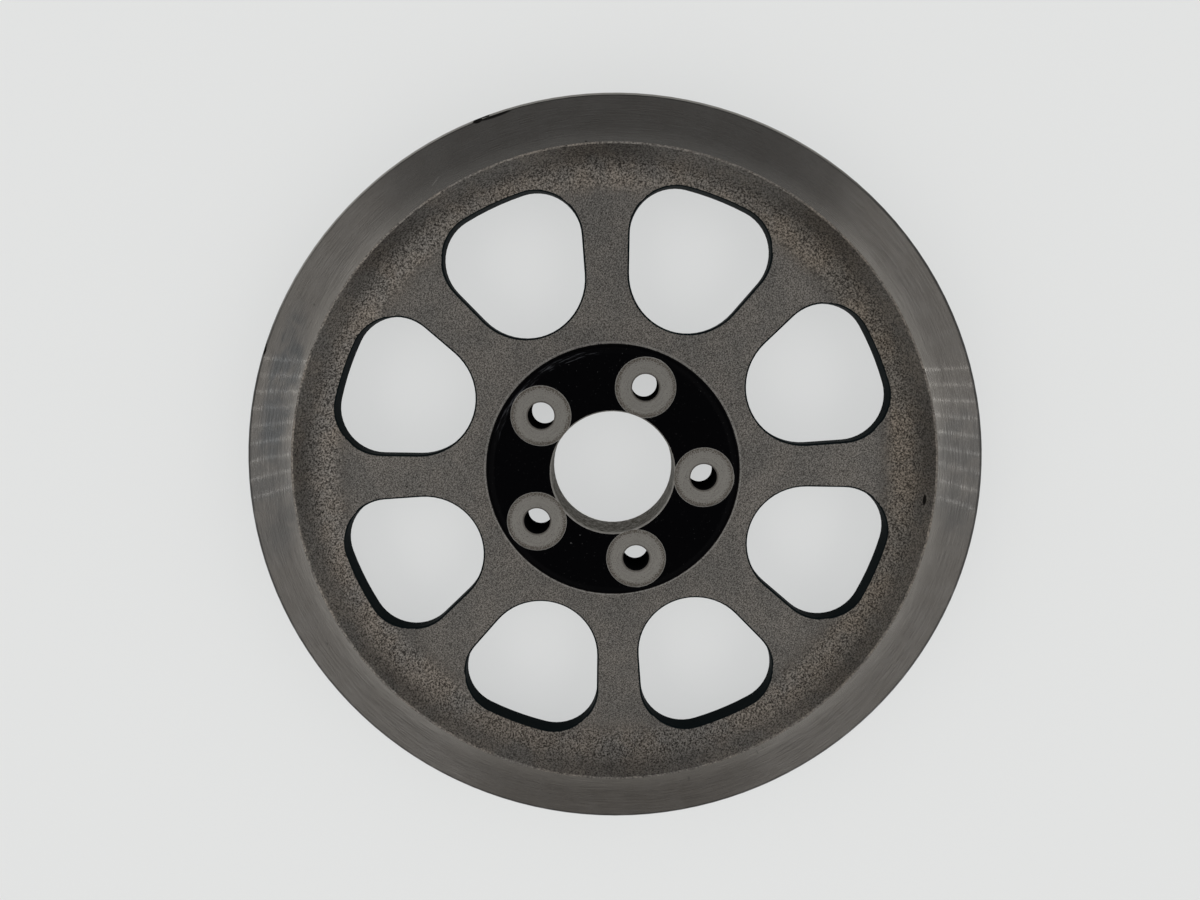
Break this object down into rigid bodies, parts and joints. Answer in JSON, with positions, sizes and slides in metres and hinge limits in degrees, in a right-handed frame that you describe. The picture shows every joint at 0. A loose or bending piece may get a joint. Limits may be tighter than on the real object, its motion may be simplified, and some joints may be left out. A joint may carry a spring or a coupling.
{
  "type": "rear drive belt pulley",
  "caption": "Toothed belt pulley for a motorcycle's rear wheel, with a flanged rim, a web with open windows, a drilled hub and a centring bore.",
  "frame": {"origin": "centre of the bolt circle on the machined face that seats on the wheel hub", "axes": "+Z along the axle, away from the wheel towards the flanged outboard face; +X through the first bolt hole and the first window"},
  "size_m": [0.3224, 0.3224, 0.0453],
  "materials": {
    "cast_aluminium": "cast aluminium, blasted and weathered on the web, fine turned on the ring, with a gloss black painted hub pad"
  },
  "bodies": {
    "root": {"pulley": "cast_aluminium"}
  },
  "joints": []
}
